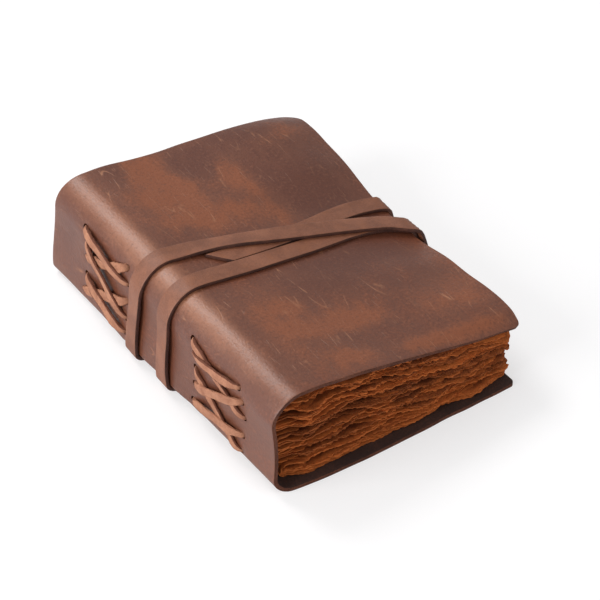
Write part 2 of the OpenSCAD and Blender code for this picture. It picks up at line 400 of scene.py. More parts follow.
def hairlines(vector, size, thin, lean):
    """Short curved scratches: where a noise crosses its middle, kept only here and there."""
    turned = vector.stretched(1, 0.13, 1, turn=lean)
    line = turned.cloud(size, 1, 0.3, 0.15) - 0.5
    line = line.sum("ABSOLUTE", line, 0)
    kept = vector.stretched(1, 1, 1, turn=lean + 0.7).cloud(size * 0.75, 1, 0.5)
    return (1 - line.over(0, thin)) * kept.over(0.52, 0.68)


# Five sets of scratches: their size in mm, fineness, direction and strength.
scratches = hairlines(on_hide, 15 * mm, 0.007, 0.5)
for size, thin, lean, strength in ((11, 0.009, 1.2, 0.8), (19, 0.006, 2.6, 0.9), (9, 0.011, 0.1, 0.6),
                                   (13, 0.008, 2.1, 0.7)):
    scratches = scratches + hairlines(on_hide, size * mm, thin, lean) * strength
scratches = scratches * (on_hide.cloud(30 * mm, 3).over(0.4, 0.62) * 0.75 + 0.25)
colour = colour.toward(scratch_tan, scratches * 0.5)
pores = {"Vector": on_hide, "Scale": 1 / (1.1 * mm), "Randomness": 1.0}
grain = start.node("TexVoronoi", pores, feature="F1")
relief = speck * 0.5 + grain * 0.35 + mottle * 1.2 - scratches * 0.5
rough = mottle * 0.12 + speck * 0.12 + scratches * 0.15 + 0.3
wear_in(shader, start, colour, rough, relief, 0.6, 0.35 * mm, shine=0.6)

# Flesh side: unfinished, napped and nearly black-brown.
cover_flesh, start, shader = finish("cover_leather_flesh")
where = start.place()
nap = where.cloud(1.1 * mm, 4, 0.7)
patch = where.cloud(24 * mm, 4)
worn = (patch * 0.5 + nap * 0.5).over(0.42, 0.68)
colour = blend_colour(start, dye(46, 25, 18), dye(72, 43, 32), worn)
wear_in(shader, start, colour, nap * 0.1 + 0.8, nap, 0.8, 0.3 * mm)

# Cut edges: bare brown fibre, darkened by the knife.
cover_edge, start, shader = finish("cover_leather_edge")
where = start.place()
fibre = where.cloud(0.7 * mm, 4, 0.7)
worn = (fibre * 0.7 + where.cloud(9 * mm) * 0.3).over(0.4, 0.66)
colour = blend_colour(start, dye(72, 40, 29), dye(112, 68, 50), worn)
wear_in(shader, start, colour, fibre * 0.15 + 0.7, fibre, 0.7, 0.25 * mm, shine=0.2)

# Where handling has pulled the oil up (positive) or left it dark (negative):
# (s, y, reach along s, reach along y, strength).
pulled = [(64, 76, 17, 26, 1.3), (78, 40, 26, 10, 0.6), (104, 68, 7, 26, 0.8), (112, 22, 10, 14, 0.35),
          (60, -54, 14, 20, 0.75), (92, -62, 16, 9, 0.9), (150, -70, 22, 12, 0.5), (166, -40, 8, 24, 0.35),
          (70, -92, 12, 8, 0.8), (128, -96, 30, 5, 0.8), (150, 88, 14, 8, 0.3), (30, 60, 6, 20, 0.3),
          (88, 84, 20, 12, -0.8), (136, 44, 18, 26, -0.9), (122, 92, 22, 7, -0.7), (120, -18, 26, 9, -0.6),
          (48, 90, 7, 16, -0.5), (100, -30, 16, 10, -0.3), (6, 92, 14, 9, -0.5), (12, -4, 12, 14, -0.2)]
# The pale band of the upper bend, part rubbed leather and part painted highlight, is strongest midway,
# against y.
bend_pale_and_highlight_along_y = [(-106, 0.5), (-85, 0.55), (-50, 0.75), (-20, 0.95), (15, 1.1), (50, 0.9), (80, 0.7),
             (106, 0.6)]
# Where that band of pale leather and painted highlight lies along s, under the back lamp's reflection, and
# how far it reaches.
bend_highlight_s = 26 * mm
bend_highlight_reach = 9 * mm
# The knife's wander, and how far the fore-edges run out (or in) toward the tail.
cut_wave = 0.12 * mm
front_tail_out = 0.8 * mm
back_tail_out = -3.7 * mm
# The dents that the thongs draw round the holes, the eased cut edges and the punch.
dent_depth = 0.55 * mm
dent_reach = 3.0 * mm
ease_cut = 0.4 * mm
punch_depth = 12 * mm
wrap_grid = 150
close = 0.42
close_s = 62 * mm
body_share = 0.93


def leather_half(name, end_s):
    """Half of the wrap, from the seam on the spine to a fore-edge, with its lacing holes."""
    bpy.ops.object.select_all(action="DESELECT")
    bpy.ops.mesh.primitive_grid_add(x_subdivisions=wrap_grid, y_subdivisions=wrap_grid, size=1)
    half = bpy.context.object
    half.name = name
    grid = places(half)
    along = grid[:, 0] + 0.5
    across = grid[:, 1] * 2
    direction = math.copysign(1, end_s)
    length = abs(end_s)
    # Rows lie closer on the spine and bends, and end on the rounded corners.
    corner = head_corner_r
    run = np.where(along < close, along / close * close_s,
                   close_s + (along - close) / (body_share - close) * (length - corner - close_s))
    last = np.clip((along - body_share) / (1 - body_share), 0, 1) * math.pi / 2
    run = np.where(along > body_share, length - corner + corner * np.sin(last), run)
    s = run * direction
    cut_head = through(head_cut, s / mm) * mm + cut_wave * waves(11, 30 * mm, s)
    cut_tail = through(tail_cut, s / mm) * mm + cut_wave * waves(12, 30 * mm, s)
    for cut, r in ((cut_head, head_corner_r), (cut_tail, tail_corner_r)):
        into = np.clip(run - (length - r), 0, r)
        cut -= r - np.sqrt(r * r - into * into)
    y = np.where(across > 0, across * cut_head, across * cut_tail)
    tail_shift = (front_tail_out if end_s > 0 else back_tail_out) * ease(50 * mm, 100 * mm, -y)
    shift = (cut_wave * waves(13, 30 * mm, y) + tail_shift) * ease(0.8, 1, along)
    where, normal = wrap_surface(s + shift * direction, y)
    # The thongs draw the leather in round each hole.
    dent = np.zeros(len(s))
    for hole_s, hole_y in holes:
        away = np.hypot(s - hole_s, y - hole_y)
        dent += dent_depth * np.exp(-(away / dent_reach) ** 2)
    where -= normal * dent[:, None]
    put(half, where)
    rub = sum(strength * np.exp(-((s / mm - at_s) / reach_s) ** 2 - ((y / mm - at_y) / reach_y) ** 2)
              for at_s, at_y, reach_s, reach_y, strength in pulled)
    rub = rub + 0.35 * waves(21, 14 * mm, s, y) * np.abs(rub)
    mark(half, "pull_up", rub)
    # The bend mark is the pale band of the upper bend: partly pulled-up leather and partly a painted
    # highlight.
    mark(half, "bend", np.exp(-((s - bend_highlight_s) / bend_highlight_reach) ** 2) * through(bend_pale_and_highlight_along_y, y / mm))
    half.data.uv_layers[0].name = "hide"
    corners = np.empty(len(half.data.loops), int)
    half.data.loops.foreach_get("vertex_index", corners)
    half.data.uv_layers["hide"].data.foreach_set("uv", np.stack([s[corners], y[corners]], -1).ravel())
    for material in (cover_hide, cover_flesh, cover_edge):
        half.data.materials.append(material)
    only(half)
    if half.data.polygons[0].normal.dot(Vector(normal[half.data.polygons[0].vertices[0]])) < 0:
        bpy.ops.object.mode_set(mode="EDIT")
        bpy.ops.mesh.select_all(action="SELECT")
        bpy.ops.mesh.flip_normals()
        bpy.ops.object.mode_set(mode="OBJECT")
    apply(half, "SOLIDIFY", thickness=leather_t, offset=-1, use_even_offset=False,
          material_offset=1, material_offset_rim=2)
    # The knife's edges are eased, except at the seam, where the two halves are one hide.
    bpy.ops.object.mode_set(mode="EDIT")
    bpy.ops.mesh.select_mode(type="EDGE")
    bpy.ops.mesh.select_all(action="DESELECT")
    bpy.ops.mesh.edges_select_sharp(sharpness=math.radians(60))
    bpy.ops.object.mode_set(mode="OBJECT")
    spots = places(half)
    for edge in half.data.edges:
        if edge.select:
            a, b = (spots[v] for v in edge.vertices)
            on_seam = abs(a[2] - seam_z) < 0.6 * mm and abs(b[2] - seam_z) < 0.6 * mm
            edge.select = not (on_seam and min(a[0], b[0]) < spine_x + 5 * mm)
    bpy.ops.object.mode_set(mode="EDIT")
    bpy.ops.mesh.bevel(offset=ease_cut, segments=2, affect="EDGES", clamp_overlap=True)
    bpy.ops.object.mode_set(mode="OBJECT")
    # Punch the lacing holes.
    for hole_s, hole_y in holes:
        if (hole_s >= 0) != (end_s > 0):
            continue
        centre, out = wrap_surface(np.array([hole_s]), np.array([hole_y]))
        bpy.ops.object.select_all(action="DESELECT")
        inward = Vector(out[0]).to_track_quat("Z", "Y").to_euler()
        bpy.ops.mesh.primitive_cylinder_add(vertices=20, radius=hole_r, depth=punch_depth,
                                            location=centre[0], rotation=inward)
        punch = bpy.context.object
        bpy.ops.object.transform_apply(location=True, rotation=True, scale=True)
        punch.data.materials.append(cover_edge)
        apply(half, "BOOLEAN", operation="DIFFERENCE", object=punch, solver="EXACT",
              material_mode="TRANSFER")
        bpy.data.objects.remove(punch)
    only(half)
    bpy.ops.object.shade_smooth_by_angle(angle=math.radians(40))
    return half


front_half = leather_half("leather_wrap_front", front_s)
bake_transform(front_half)
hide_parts("front_cover", "spine")
back_half = leather_half("leather_wrap_back", -back_s)
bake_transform(back_half)
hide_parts("back_cover", "spine")

# ---- Signatures ----
# Five sewn signatures, each of six folded sheets of thick handmade paper, dyed orange-brown.
# All four sides are torn, not cut, so every leaf ends in its own ragged, wavy line.
signatures = 5
sheets = 6
leaf_t = 0.56 * mm
fold_x = 13 * mm
nose_depth = 8.2 * mm
round_nose = 5.2 * mm
nose_reach = 8 * mm
page_x = width - 5.5 * mm
page_half_y = 99.3 * mm
page_corner_r = 3 * mm
# Room between the block and the covers: under it, over it, and more by the upper bend.
low_gap = 0.3 * mm
high_gap = 0.7 * mm
bend_gap = 2.4 * mm
# The leaves gather in loose clusters, so many to the block and so tight.
clusters = 10.5
gathering = 0.62
# Torn edges: how deep a tear reaches into a leaf, how far a leaf in a gap stands back, and how far
# all stand back at the corners of the fore-edge and at the folds.
deckle_reach = 8 * mm
group_tear = (1.5, 40)
leaf_tears = [("leaf", 0.35, 20), ("nick", 0.22, 7), ("fuzz", 0.26, 2.2)]
sunk_depth = 5.5
corner_recess = 0.6 * mm
fold_recess = 4.5 * mm
# Each sheet further in has a shorter nose.
nose_step = 0.4 * mm


def block_low(x, y):
    """Height of the back cover's inner face, x from the spine."""
    inner = bottom_r - leather_t
    reach = np.clip(bottom_r - x, 0, inner)
    return leather_t + inner - np.sqrt(inner ** 2 - reach ** 2) + book_lift(y) + low_gap


def block_high(x, y):
    """Height of the front cover's inner face."""
    inner = top_r - leather_t
    reach = np.clip(top_r - x, 0, inner)
    bend = top_z - top_r + np.sqrt(inner ** 2 - reach ** 2)
    panel = fore_z + (width - x) * math.tan(slope) - leather_t / math.cos(slope)
    clear = high_gap + bend_gap * ease(40 * mm, 22 * mm, x)
    return np.where(x < top_r, bend, panel) + front_swell(x, y) * ease(4 * mm, top_r, x) - clear


def gather(share, x, y):
    """Where a leaf stands in its loose cluster, as a turn of a circle: a half turn is a gap."""
    phase = 0.4 * waves(31, 80 * mm, x, y) + 0.6 * waves(32, 190 * mm, x, y)
    return 2 * math.pi * (share * clusters + phase)


def leaf_height(share, x, y):
    """Height of a leaf that lies at that share of the block, counted from below."""
    share = share - gathering * np.sin(gather(share, x, y)) / (2 * math.pi * clusters)
    low = block_low(x, y)
    high = block_high(x, y)
    bulge = np.sin(math.pi * np.clip(share, 0, 1))
    edge = 0.25 + 0.75 * ease(24 * mm, 2 * mm, page_half_y - np.abs(y))
    edge = np.maximum(edge, ease(24 * mm, 2 * mm, page_x - x))
    wave = (0.8 * waves(33, 60 * mm, x, y) + 0.3 * waves(34, 22 * mm, x, y)) * mm
    return low + (high - low) * share + wave * bulge * edge


# One flat blank: a sheet lying open, its outline fine enough for torn edges.
leg = page_x - fold_x
sheet_half = nose_reach + leg
bpy.ops.object.select_all(action="DESELECT")
outline_points = 960
inset_steps = (0.8 * mm, 1.6 * mm, 4.1 * mm)
leg_shares = (0.08, 0.22, 0.4, 0.58, 0.76, 0.9)
bpy.ops.mesh.primitive_circle_add(vertices=outline_points, radius=1, fill_type="NGON")
blank = bpy.context.object
blank.name = "sheet_blank"
straight_x = 2 * (sheet_half - page_corner_r)
straight_y = 2 * (page_half_y - page_corner_r)
corner_arc = page_corner_r * math.pi / 2
girth = 2 * straight_x + 2 * straight_y + 4 * corner_arc
outline = []
for k in range(outline_points):
    walk = girth * k / outline_points
    heading = 0.0
    spot = complex(-straight_x / 2, -page_half_y)
    for side in (straight_x, straight_y, straight_x, straight_y):
        step = min(walk, side)
        spot += step * complex(math.cos(heading), math.sin(heading))
        walk -= step
        bend_turn = min(walk, corner_arc) / page_corner_r
        centre = spot + page_corner_r * complex(-math.sin(heading), math.cos(heading))
        spot = centre + (spot - centre) * complex(math.cos(bend_turn), math.sin(bend_turn))
        walk -= bend_turn * page_corner_r
        heading += math.pi / 2
        if walk <= 1e-9:
            break
    outline.append((spot.real, spot.imag, 0))
# The circle's points go to the outline's points that lie in the same order round the middle.
circle = places(blank)
order = np.argsort(np.arctan2(circle[:, 1], circle[:, 0]))
by_angle = sorted(outline, key=lambda p: math.atan2(p[1], p[0]))
spread = np.zeros_like(circle)
spread[order] = by_angle
put(blank, spread)
only(blank)
bpy.ops.object.mode_set(mode="EDIT")
bpy.ops.mesh.select_all(action="SELECT")
for step in inset_steps:
    bpy.ops.mesh.inset(thickness=step)
fold_lines = [nose_reach * k / 3 for k in (-3, -2, -1, 0, 1, 2, 3)]
leg_lines = [side * (nose_reach + leg * share) for side in (-1, 1) for share in leg_shares]
for place in fold_lines + leg_lines:
    bpy.ops.mesh.select_all(action="SELECT")
    bpy.ops.mesh.bisect(plane_co=(place, 0, 0), plane_no=(1, 0, 0))
for k in range(-8, 9):
    bpy.ops.mesh.select_all(action="SELECT")
    bpy.ops.mesh.bisect(plane_co=(0, k * 11 * mm, 0), plane_no=(0, 1, 0))
bpy.ops.object.mode_set(mode="OBJECT")
blank_at = places(blank)

page_paper, start, shader = finish("page_paper_dyed")
where = start.place()
tone = start.marked("leaf_tone")
lit_torn_edge = start.marked("torn_edge_highlight")
crevice_shade_mask = start.marked("crevice_shade")
pulp = where.stretched(0.6, 0.6, 2).cloud(1.6 * mm, 5, 0.68)
stain = where.stretched(0.6, 0.6, 3.2).cloud(11 * mm, 5, 0.66, 0.4)
fibre = where.stretched(1, 1, 2.5).cloud(0.6 * mm, 3, 0.6, 1.0)
dyed = (tone * 0.4 + stain * 0.4 + pulp * 0.2).over(0.34, 0.64)
deep = (stain * 0.55 + pulp * 0.45 - tone * 0.2).over(0.38, 0.56)
colour = blend_colour(start, dye(96, 41, 17), dye(180, 94, 42), dyed)
colour = colour.toward(dye(76, 28, 11), deep * 0.75)
# Painted shade: each leaf is darker a few mm in from its torn edge, where it lies in the crevices between
# leaves.
colour = colour.toward(dye(62, 24, 9), crevice_shade_mask * 0.75)
# Torn edges are lighter: partly pale loose fibre, partly a painted highlight where the edges catch the
# light.
colour = colour.toward(dye(196, 116, 60), lit_torn_edge * fibre.over(0.4, 0.66) * 0.5)
relief = pulp * 0.7 + fibre * 0.5
wear_in(shader, start, colour, pulp * 0.1 + 0.82, relief, 0.9, 0.35 * mm, shine=0.2)


def folded_sheet(number, k):
    """One sheet of a signature, folded with its nose to the spine, k sheets in from the outside."""
    leaf = bpy.data.objects.new(f"sheet_{number}_{k}", blank.data.copy())
    bpy.context.scene.collection.objects.link(leaf)
    draw = random.Random(100 * number + k)
    u, y = blank_at[:, 0], blank_at[:, 1].copy()
    side = np.where(u >= 0, 1, -1)
    into_fore = sheet_half - np.abs(u)
    into_end = page_half_y - np.abs(y)
    end = np.where(y >= 0, 1, -1)
    x_flat = fold_x + np.clip(np.abs(u) - nose_reach, 0, None)
    # Torn edges: clusters of leaves share a broad line, and each leaf adds its own.
    rest = [np.zeros(len(u)), np.zeros(len(u))]
    middle = (signatures - number + 0.5) / signatures
    leaf_share = middle + side * (0.5 - (k + 0.5) / (2 * sheets)) / signatures
    # Leaves in the gaps between clusters end further in.
    sunk = (0.5 - 0.5 * np.cos(gather(leaf_share, x_flat, y))) * ease(0.0, 0.12, leaf_share)
    for slot, (edge, coordinate) in enumerate((("fore", y), ("end", x_flat))):
        for direction in (-1, 1):
            for turn in ((-1, 1) if edge == "end" else (0,)):
                of = (side == direction) & ((end == turn) | (turn == 0))
                share = middle + direction * (0.5 - (k + 0.5) / (2 * sheets)) / signatures
                group = int(share * clusters)
                key = f"{edge} {turn} "
                line = group_tear[0] * waves(key + f"group {group}", group_tear[1] * mm, coordinate)
                for kind, depth, wave_mm in leaf_tears:
                    own = key + f"{kind} {number} {k} {direction}"
                    line = line + depth * waves(own, wave_mm * mm, coordinate)
                line = line * (0.35 + 0.65 * ease(0.0, 0.12, share)) + draw.uniform(-0.7, 0.7)
                line = line + sunk_depth * sunk ** 4 - 1.0
                rest[slot] += np.where(of, line, 0)
    fade_fore = np.clip(1 - into_fore / deckle_reach, 0, 1)
    fade_end = np.clip(1 - into_end / deckle_reach, 0, 1)
    x = x_flat - rest[0] * mm * fade_fore
    y = y - end * rest[1] * mm * fade_end
    y = y - end * corner_recess * ease(page_x - 22 * mm, page_x, x_flat) * fade_end
    y = y - end * fold_recess * ease(nose_reach + 9 * mm, nose_reach - 3 * mm, np.abs(u)) * fade_end
    # The legs lie between the covers, and the nose is a rounded end that just clears the spine.
    at_fold = np.minimum(np.abs(u) / nose_reach, 1) * math.pi / 2
    nose = round_nose - nose_step * k
    # The folds are round, but at head and tail those of the middle signatures spread to the spine.
    spread_end = ease(14 * mm, 6 * mm, into_end) * (1 if number in (2, 3, 4) else 0)
    nose = nose + (nose_depth - round_nose) * spread_end
    square = 1 - 0.5 * spread_end
    in_leg = np.abs(u) > nose_reach
    z_leg = leaf_height(leaf_share, np.maximum(x, fold_x), y)
    z_middle = leaf_height(np.full(len(u), middle), np.full(len(u), fold_x), y)
    z = np.where(in_leg, z_leg, z_middle + (z_leg - z_middle) * np.sin(at_fold) ** square)
    x = np.where(in_leg, x, fold_x - nose * np.clip(np.cos(at_fold), 0, 1) ** square)
    flutter = 0.05 * mm * waves(f"flutter {number} {k}", 11 * mm, x, y * side)
    flutter = flutter + 0.3 * mm * waves(f"curl {number} {k}", 45 * mm, x, y * side)
    z = z + flutter * np.maximum(ease(12 * mm, 0, into_end), ease(12 * mm, 0, into_fore))
    put(leaf, np.stack([spine_x + x, y, z], -1))
    mark(leaf, "leaf_tone", np.full(len(u), draw.uniform(0, 1)))
    into = np.minimum(into_end, into_fore)
    # Marks the torn edges, lightened partly as pale fibre and partly as a painted highlight.
    mark(leaf, "torn_edge_highlight", ease(2.2 * mm, 0.4 * mm, into))
    # A band of painted shade a few mm in from the edge, where the crevices between leaves are dark.
    mark(leaf, "crevice_shade", ease(0.8 * mm, 3.5 * mm, into) * ease(16 * mm, 6 * mm, into))
    leaf.data.materials.append(page_paper)
    return leaf


def join(parts, name):
    """Makes several objects one, under that name."""
    bpy.ops.object.select_all(action="DESELECT")
    for part in parts:
        part.select_set(True)
    bpy.context.view_layer.objects.active = parts[0]
    bpy.ops.object.join()
    parts[0].name = name
    return parts[0]


for number in range(1, signatures + 1):
    leaves = [folded_sheet(number, k) for k in range(sheets)]
    signature = join(leaves, f"paper_signature_{number}")
    apply(signature, "SOLIDIFY", thickness=leaf_t, offset=0, use_even_offset=False)
    # Torn fibre: every edge frays, up and down as well as in and out.
    at = places(signature)
    x, y, z = at[:, 0] - spine_x, at[:, 1], at[:, 2]
    frayed = np.maximum(ease(5 * mm, 1 * mm, page_half_y - np.abs(y)),
                        ease(page_x - 6 * mm, page_x - 1 * mm, x))
    tuft = [waves(f"tuft {number} {axis}", 3.2 * mm, x, y, 1.6 * z) for axis in range(3)]
    put(signature, at + np.stack([0.35 * tuft[0], 0.4 * tuft[1], 0.12 * tuft[2]], -1)
        * (frayed * mm)[:, None])
    only(signature)
    bpy.ops.object.shade_smooth_by_angle(angle=math.radians(35))
    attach(signature, f"signature_{number}")
    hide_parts(f"signature_{number}")
bpy.data.objects.remove(blank)

# ---- Lacing thongs ----
# Soft tan leather thongs hold each signature: out through a hole in the spine, across to another row,
# and in again, with a run inside the fold. They are puffy, a little twisted, with fuzzy cut edges.
thong_w = 5.1 * mm
thong_t = 1.6 * mm
bare_thong_t = 1.8 * mm
inside_w = 2.0 * mm
inside_t = 1.4 * mm
# Each crossing: its row in the inner column, its row in the outer, and whether it lies over others.
crossings = [(1, 3, False), (3, 5, False), (2, 1, True), (4, 2, True), (5, 4, True)]
# The strands that lie bare, with dark cut sides, and those whose sides are hidden by others.
bare_strands = {"tail": (1, 2, 3), "head": (3, 4, 5)}
head_widening = 1.16
thong_sides = 16
thong_steps = 56
section_square = 0.45
fuzz_depth = 0.26 * mm
# How high a crossing lies by its holes, where it runs low and where it runs over, all in mm.
low_off = 0.7
under_off = 1.0
over_off = 2.2
# Along a crossing: how wide and how thick it is, as shares.
squeeze_along = [(0, 0.5), (0.1, 0.62), (0.24, 0.98), (0.5, 1.0), (0.76, 0.98), (0.9, 0.62), (1, 0.5)]
thick_along = [(0, 1.2), (0.1, 1.3), (0.3, 1.0), (0.7, 1.0), (0.9, 1.3), (1, 1.2)]

bpy.ops.object.select_all(action="DESELECT")
bpy.ops.mesh.primitive_circle_add(vertices=thong_sides, radius=1, fill_type="NGON")
thong_blank = bpy.context.object
bpy.ops.object.mode_set(mode="EDIT")
bpy.ops.mesh.select_all(action="SELECT")
for _ in range(thong_steps):
    bpy.ops.mesh.extrude_region_move(TRANSFORM_OT_translate={"value": (0, 0, 1)})
bpy.ops.object.mode_set(mode="OBJECT")
face_outwards(thong_blank)
thong_at = places(thong_blank)
thong_at[:, 2] -= thong_at[:, 2].min()

thong_hide, start, shader = finish("thong_leather_tan")
where = start.place()
cut = start.marked("cut_side")
fluff = where.cloud(0.55 * mm, 4, 0.7)
patch = where.cloud(6 * mm, 4, 0.6)
worn = (fluff * 0.4 + patch * 0.6).over(0.35, 0.66)
colour = blend_colour(start, dye(150, 99, 75), dye(184, 130, 101), worn)
colour = colour.toward(dye(96, 52, 36), (cut + fluff * 1.5 - 0.8).over(0.3, 0.55) * 0.9)
wear_in(shader, start, colour, fluff * 0.12 + 0.68, fluff + patch * 0.5, 0.8, 0.3 * mm, shine=0.3)


def thong(name, line, broad, thick, side_of, roll, seed, cut_dark=0.4):
    """A thong along a line of points: broad and thick are its section, side_of its flat direction."""
    made = bpy.data.objects.new(name, thong_blank.data.copy())
    bpy.context.scene.collection.objects.link(made)
    step = np.clip(np.round(thong_at[:, 2]).astype(int), 0, thong_steps)
    angle = np.arctan2(thong_at[:, 1], thong_at[:, 0])
    ahead = np.gradient(line, axis=0)
    ahead /= np.linalg.norm(ahead, axis=1)[:, None]
    flat_side = side_of - ahead * np.sum(side_of * ahead, axis=1)[:, None]
    flat_side /= np.linalg.norm(flat_side, axis=1)[:, None]
    face = np.cross(flat_side, ahead)
    turned_side = flat_side * np.cos(roll)[:, None] + face * np.sin(roll)[:, None]
    turned_face = face * np.cos(roll)[:, None] - flat_side * np.sin(roll)[:, None]
    lump = 1 + 0.07 * waves(seed, 9, thong_at[:, 2], 3 * np.cos(angle))
    across = np.sign(np.cos(angle)) * np.abs(np.cos(angle)) ** section_square * lump
    through_it = np.sign(np.sin(angle)) * np.abs(np.sin(angle)) ** section_square * lump
    fuzz = fuzz_depth * waves(seed + 1, 2.2, thong_at[:, 2] * 2.3, angle * 2) * np.abs(np.cos(angle))
    across = across * broad[step] / 2 + fuzz
    through_it = through_it * thick[step] / 2
    capped = np.hypot(thong_at[:, 0], thong_at[:, 1]) < 0.5
    across = np.where(capped, 0, across)
    through_it = np.where(capped, 0, through_it)
    put(made, line[step] + turned_side[step] * across[:, None] + turned_face[step] * through_it[:, None])
    mark(made, "cut_side", cut_dark * np.clip(2.2 * np.abs(np.cos(angle)) ** 1.2 - 0.75, 0, 1))
    made.data.materials.append(thong_hide)
    face_outwards(made)
    bpy.ops.object.shade_smooth_by_angle(angle=math.radians(60))
    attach(made, "spine")
    return made


steps = np.linspace(0, 1, thong_steps + 1)
for end in ("tail", "head"):
    for number, (inner_row, outer_row, over) in enumerate(crossings, 1):
        draw = random.Random(f"{end} {number}")
        s0, y0 = hole(end, "inner", inner_row)
        s1, y1 = hole(end, "outer", outer_row)
        reach = math.hypot(s1 - s0, y1 - y0)
        # It dives into its holes at both ends, bows a little, and is narrowest in the holes.
        lead = 0.6 * mm / reach
        go = through([(0, lead), (0.09, lead * 1.4), (0.2, 0.13), (0.5, 0.5), (0.8, 0.87),
                      (0.91, 1 - lead * 1.4), (1, 1 - lead)], steps)
        bow = draw.uniform(-0.9, 0.9) * mm * np.sin(math.pi * np.clip(go, 0, 1))
        s = s0 + (s1 - s0) * go + bow * (y1 - y0) / reach
        y = y0 + (y1 - y0) * go - bow * (s1 - s0) / reach
        high = over_off if over else under_off
        off = through([(0, -3.6), (0.07, -1.2), (0.14, low_off), (0.27, high), (0.5, high + 0.1),
                       (0.73, high), (0.86, low_off), (0.93, -1.2), (1, -3.6)], steps) * mm
        on, out = wrap_surface(s, y)
        line = on + out * off[:, None]
        along = np.array([0, y1 - y0, s1 - s0]) / reach
        side_of = np.cross(out, np.broadcast_to(along, out.shape))
        broad = thong_w * through(squeeze_along, steps) * (head_widening if end == "head" else 1)
        bare = number in bare_strands[end]
        thick = (bare_thong_t if bare else thong_t) * through(thick_along, steps)
        roll = through([(0, 0.5 * draw.uniform(-1, 1)), (0.3, draw.uniform(-0.15, 0.15)),
                        (0.7, draw.uniform(-0.15, 0.15)), (1, 0.5 * draw.uniform(-1, 1))], steps)
        strand = thong(f"{end}_crossing_thong_{number}", line, broad, thick, side_of, roll, 40 + number,
                       cut_dark=0.95 if bare else 0.2)
        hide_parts(f"{end}_stitches")
    for row in range(1, 6):
        s0, y0 = hole(end, "inner", row)
        s1, y1 = hole(end, "outer", row)
        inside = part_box(f"{end}_run_{row}")
        fold_z = (inside[0].z + inside[1].z) / 2
        on, out = wrap_surface(np.array([s0, s1]), np.array([y0, y1]))
        start_at = on[0] - out[0] * 3.0 * mm
        end_at = on[1] - out[1] * 3.0 * mm
        toward = math.copysign(1, y1 - y0)
        bend_in = 2.5 * mm
        # The inside run comes in through one hole, follows the fold, and goes out by the other.
        fold = spine_x + fold_x
        knots = [start_at, (fold - 4 * mm, y0, fold_z), (fold, y0 + toward * bend_in, fold_z),
                 (fold + 0.4 * mm, (y0 + y1) / 2, fold_z),
                 (fold, y1 - toward * bend_in, fold_z), (fold - 4 * mm, y1, fold_z), end_at]
        knots = np.array([tuple(p) for p in knots])
        walk = np.concatenate([[0], np.cumsum(np.linalg.norm(np.diff(knots, axis=0), axis=1))])
        walk /= walk[-1]
        line = np.stack([through(list(zip(walk, knots[:, axis])), steps) for axis in range(3)], -1)
        side_of = np.broadcast_to(np.array([0.0, 0.0, 1.0]), line.shape)
        ones = np.ones(len(steps))
        run = thong(f"{end}_inside_thong_{row}", line, inside_w * ones, inside_t * ones, side_of,
                    0 * steps, 60 + row)
        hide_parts(f"{end}_run_{row}")
bpy.data.objects.remove(thong_blank)

# ---- Wrapping strap ----
# A strap of the same leather, cut 11 mm wide and about a metre long. It goes round the book two and
# a half times: on the front cover the second turn crosses the first and holds the slanting end.
strap_w = 10.8 * mm
strap_t = 2 * mm
edge_turn = 3 * mm
strap_cut_ease = 0.3 * mm
# In mm: how finely it is divided, and the length and slant of its cut end.
strap_step = 1.4
slant = 22
slant_reach = 10.5
# It turns over the edge of each cover, and crosses the fore-edge between them.
crossing_h = fore_z
loop = front_s + back_s + 2 * edge_turn + crossing_h


def round_book(c, y, off):
    """Points off the outside of the closed book: c follows the wrap's section, then crosses the
    fore-edge from the front cover's edge down to the back cover's, and so goes round."""
    c = np.mod(c + back_s, loop) - back_s
    on, out = wrap_surface(np.clip(c, -back_s, front_s), y)
    past = c - front_s
    edge_top, _ = wrap_surface(np.full(len(c), front_s), y)
    edge_low, _ = wrap_surface(np.full(len(c), -back_s), y)
    level_top = np.minimum(edge_top[:, 2], fore_z)
    drop = np.clip((past - edge_turn) / crossing_h, 0, 1)
    height = level_top + (edge_low[:, 2] - level_top) * drop
    lean_top = math.pi / 2 - slope
    lean = lean_top * (1 - np.clip(past / edge_turn, 0, 1)) - math.pi / 2 * np.clip(
        (past - edge_turn - crossing_h) / edge_turn, 0, 1)
    side_x = edge_top[:, 0] + (edge_low[:, 0] - edge_top[:, 0]) * drop
    across = past > 0
    base = np.where(across[:, None], np.stack([side_x, y, height], -1), on)
    normal = np.where(across[:, None], np.stack([np.cos(lean), 0 * lean, np.sin(lean)], -1), out)
    return base + normal * off[:, None]


def on_top(x):
    """Section place of a point x mm from the spine's face, on the front cover."""
    return (front_s - (width - x * mm) / math.cos(slope)) / mm


fore_low = (front_s + 2 * edge_turn + crossing_h) / mm
fore_high = front_s / mm
turn_c = loop / mm
